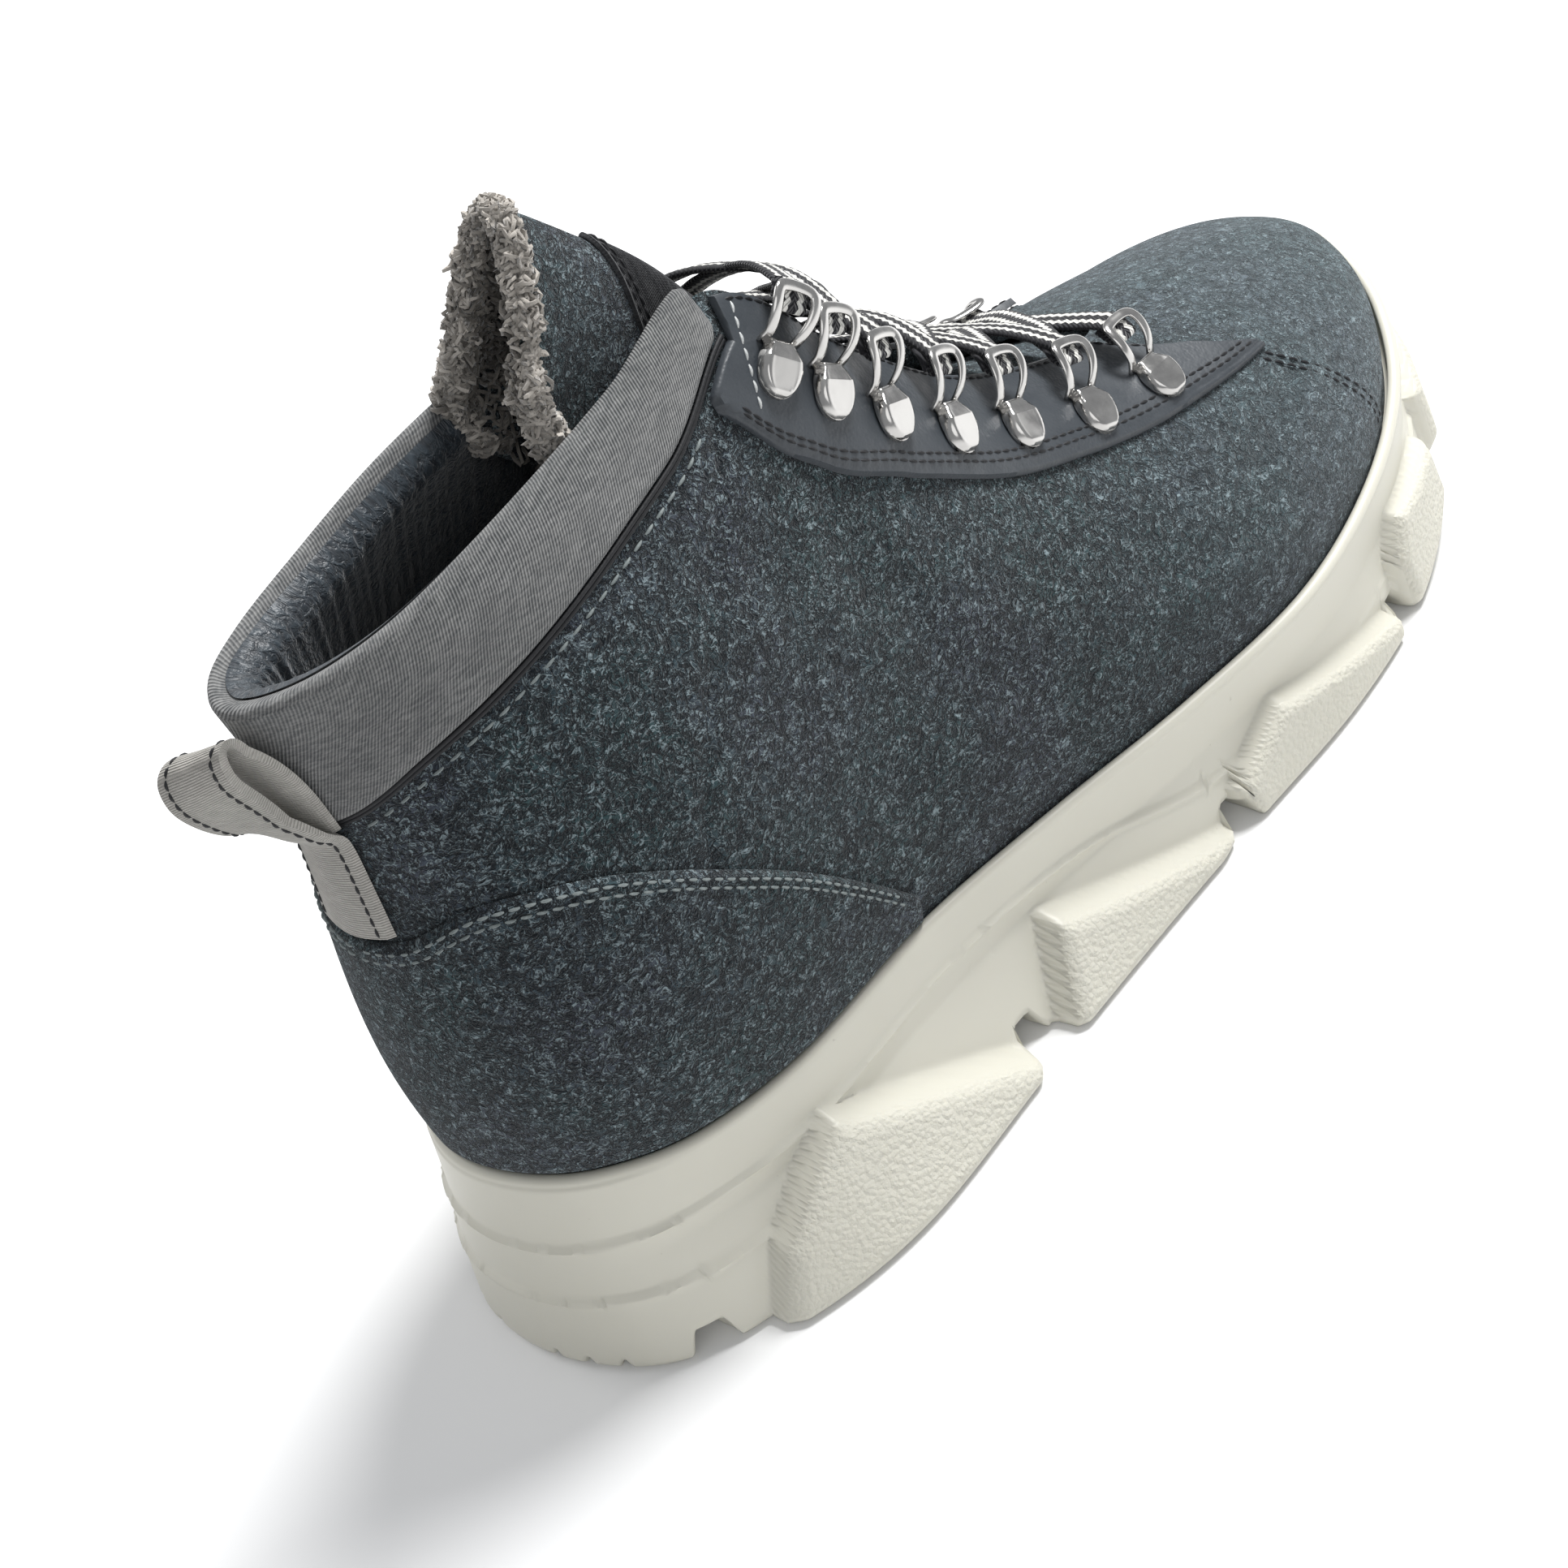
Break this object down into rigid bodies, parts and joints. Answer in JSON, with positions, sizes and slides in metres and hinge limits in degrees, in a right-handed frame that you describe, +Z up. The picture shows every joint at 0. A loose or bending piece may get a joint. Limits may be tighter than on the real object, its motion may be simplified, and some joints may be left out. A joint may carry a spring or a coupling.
{
  "type": "sneaker",
  "caption": "Right ankle-high wool felt sneaker on a thick lugged sole, with a padded collar, a tall pile-lined tongue, lacing rings and a flat lace.",
  "frame": {"origin": "middle of the heel's rest on the floor, 45 mm in front of the rim's back end", "axes": "+X to the toe, +Y to the inner side of the foot, +Z up"},
  "size_m": [0.2731, 0.1054, 0.1769],
  "materials": {
    "sole": "moulded, matt",
    "felt": "wool felt, flecked",
    "insole": "curled pile",
    "ribbon": "ribbed ribbon",
    "twill": "twill webbing",
    "lining": "smooth, padded",
    "webbing": "ribbed webbing",
    "leather": "smooth, semi-matt",
    "nickel": "bright nickel plating",
    "cord": "flat woven lace, two-tone"
  },
  "bodies": {
    "root": {"sole": "sole", "upper": "felt", "insole": "insole", "tongue": "felt", "tongue_strip": "ribbon", "heel_counter": "felt", "collar_band": "twill", "collar_lining": "lining", "pull_loop": "webbing", "eyestay_outer": "leather", "eyestay_inner": "leather", "lace": "cord", "ring_outer_1": "nickel", "ring_outer_2": "nickel", "ring_outer_3": "nickel", "ring_outer_4": "nickel", "ring_outer_5": "nickel", "ring_outer_6": "nickel", "ring_outer_7": "nickel", "ring_inner_1": "nickel", "ring_inner_2": "nickel", "ring_inner_3": "nickel", "ring_inner_4": "nickel", "ring_inner_5": "nickel", "ring_inner_6": "nickel", "ring_inner_7": "nickel"}
  },
  "joints": []
}
